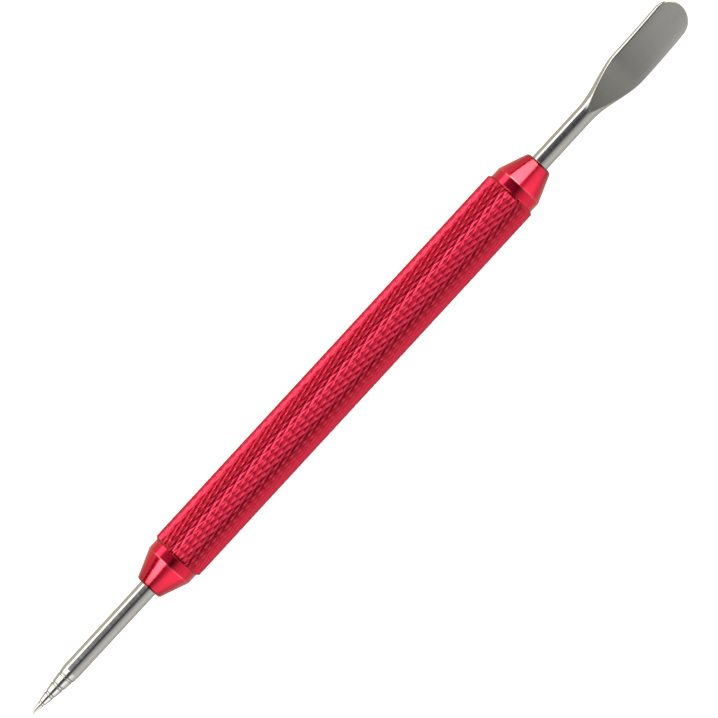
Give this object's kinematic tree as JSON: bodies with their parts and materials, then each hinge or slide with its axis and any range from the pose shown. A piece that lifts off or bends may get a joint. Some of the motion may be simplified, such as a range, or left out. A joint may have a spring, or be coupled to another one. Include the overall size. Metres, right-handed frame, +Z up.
{
  "type": "double-ended sculpting spatula",
  "caption": "Slim hand tool with a knurled round grip, a tapered ferrule at each end, a round-ended spatula blade at one end and a ringed needle point at the other.",
  "frame": {"origin": "under the middle of the overall length, on the surface that the grip lies on", "axes": "+X along the tool from the needle to the spatula blade, +Z up and square to the blade's broad faces"},
  "size_m": [0.135, 0.0082, 0.0082],
  "materials": {
    "knurled_red": "red anodised over a rolled diamond knurl",
    "turned_red": "red anodised over a smooth turned surface",
    "blade_steel": "satin ground stainless steel",
    "needle_steel": "polished stainless steel"
  },
  "bodies": {
    "root": {"grip_sleeve": "knurled_red", "spatula_ferrule": "turned_red", "needle_ferrule": "turned_red", "spatula_blade": "blade_steel", "ringed_needle": "needle_steel"}
  },
  "joints": []
}
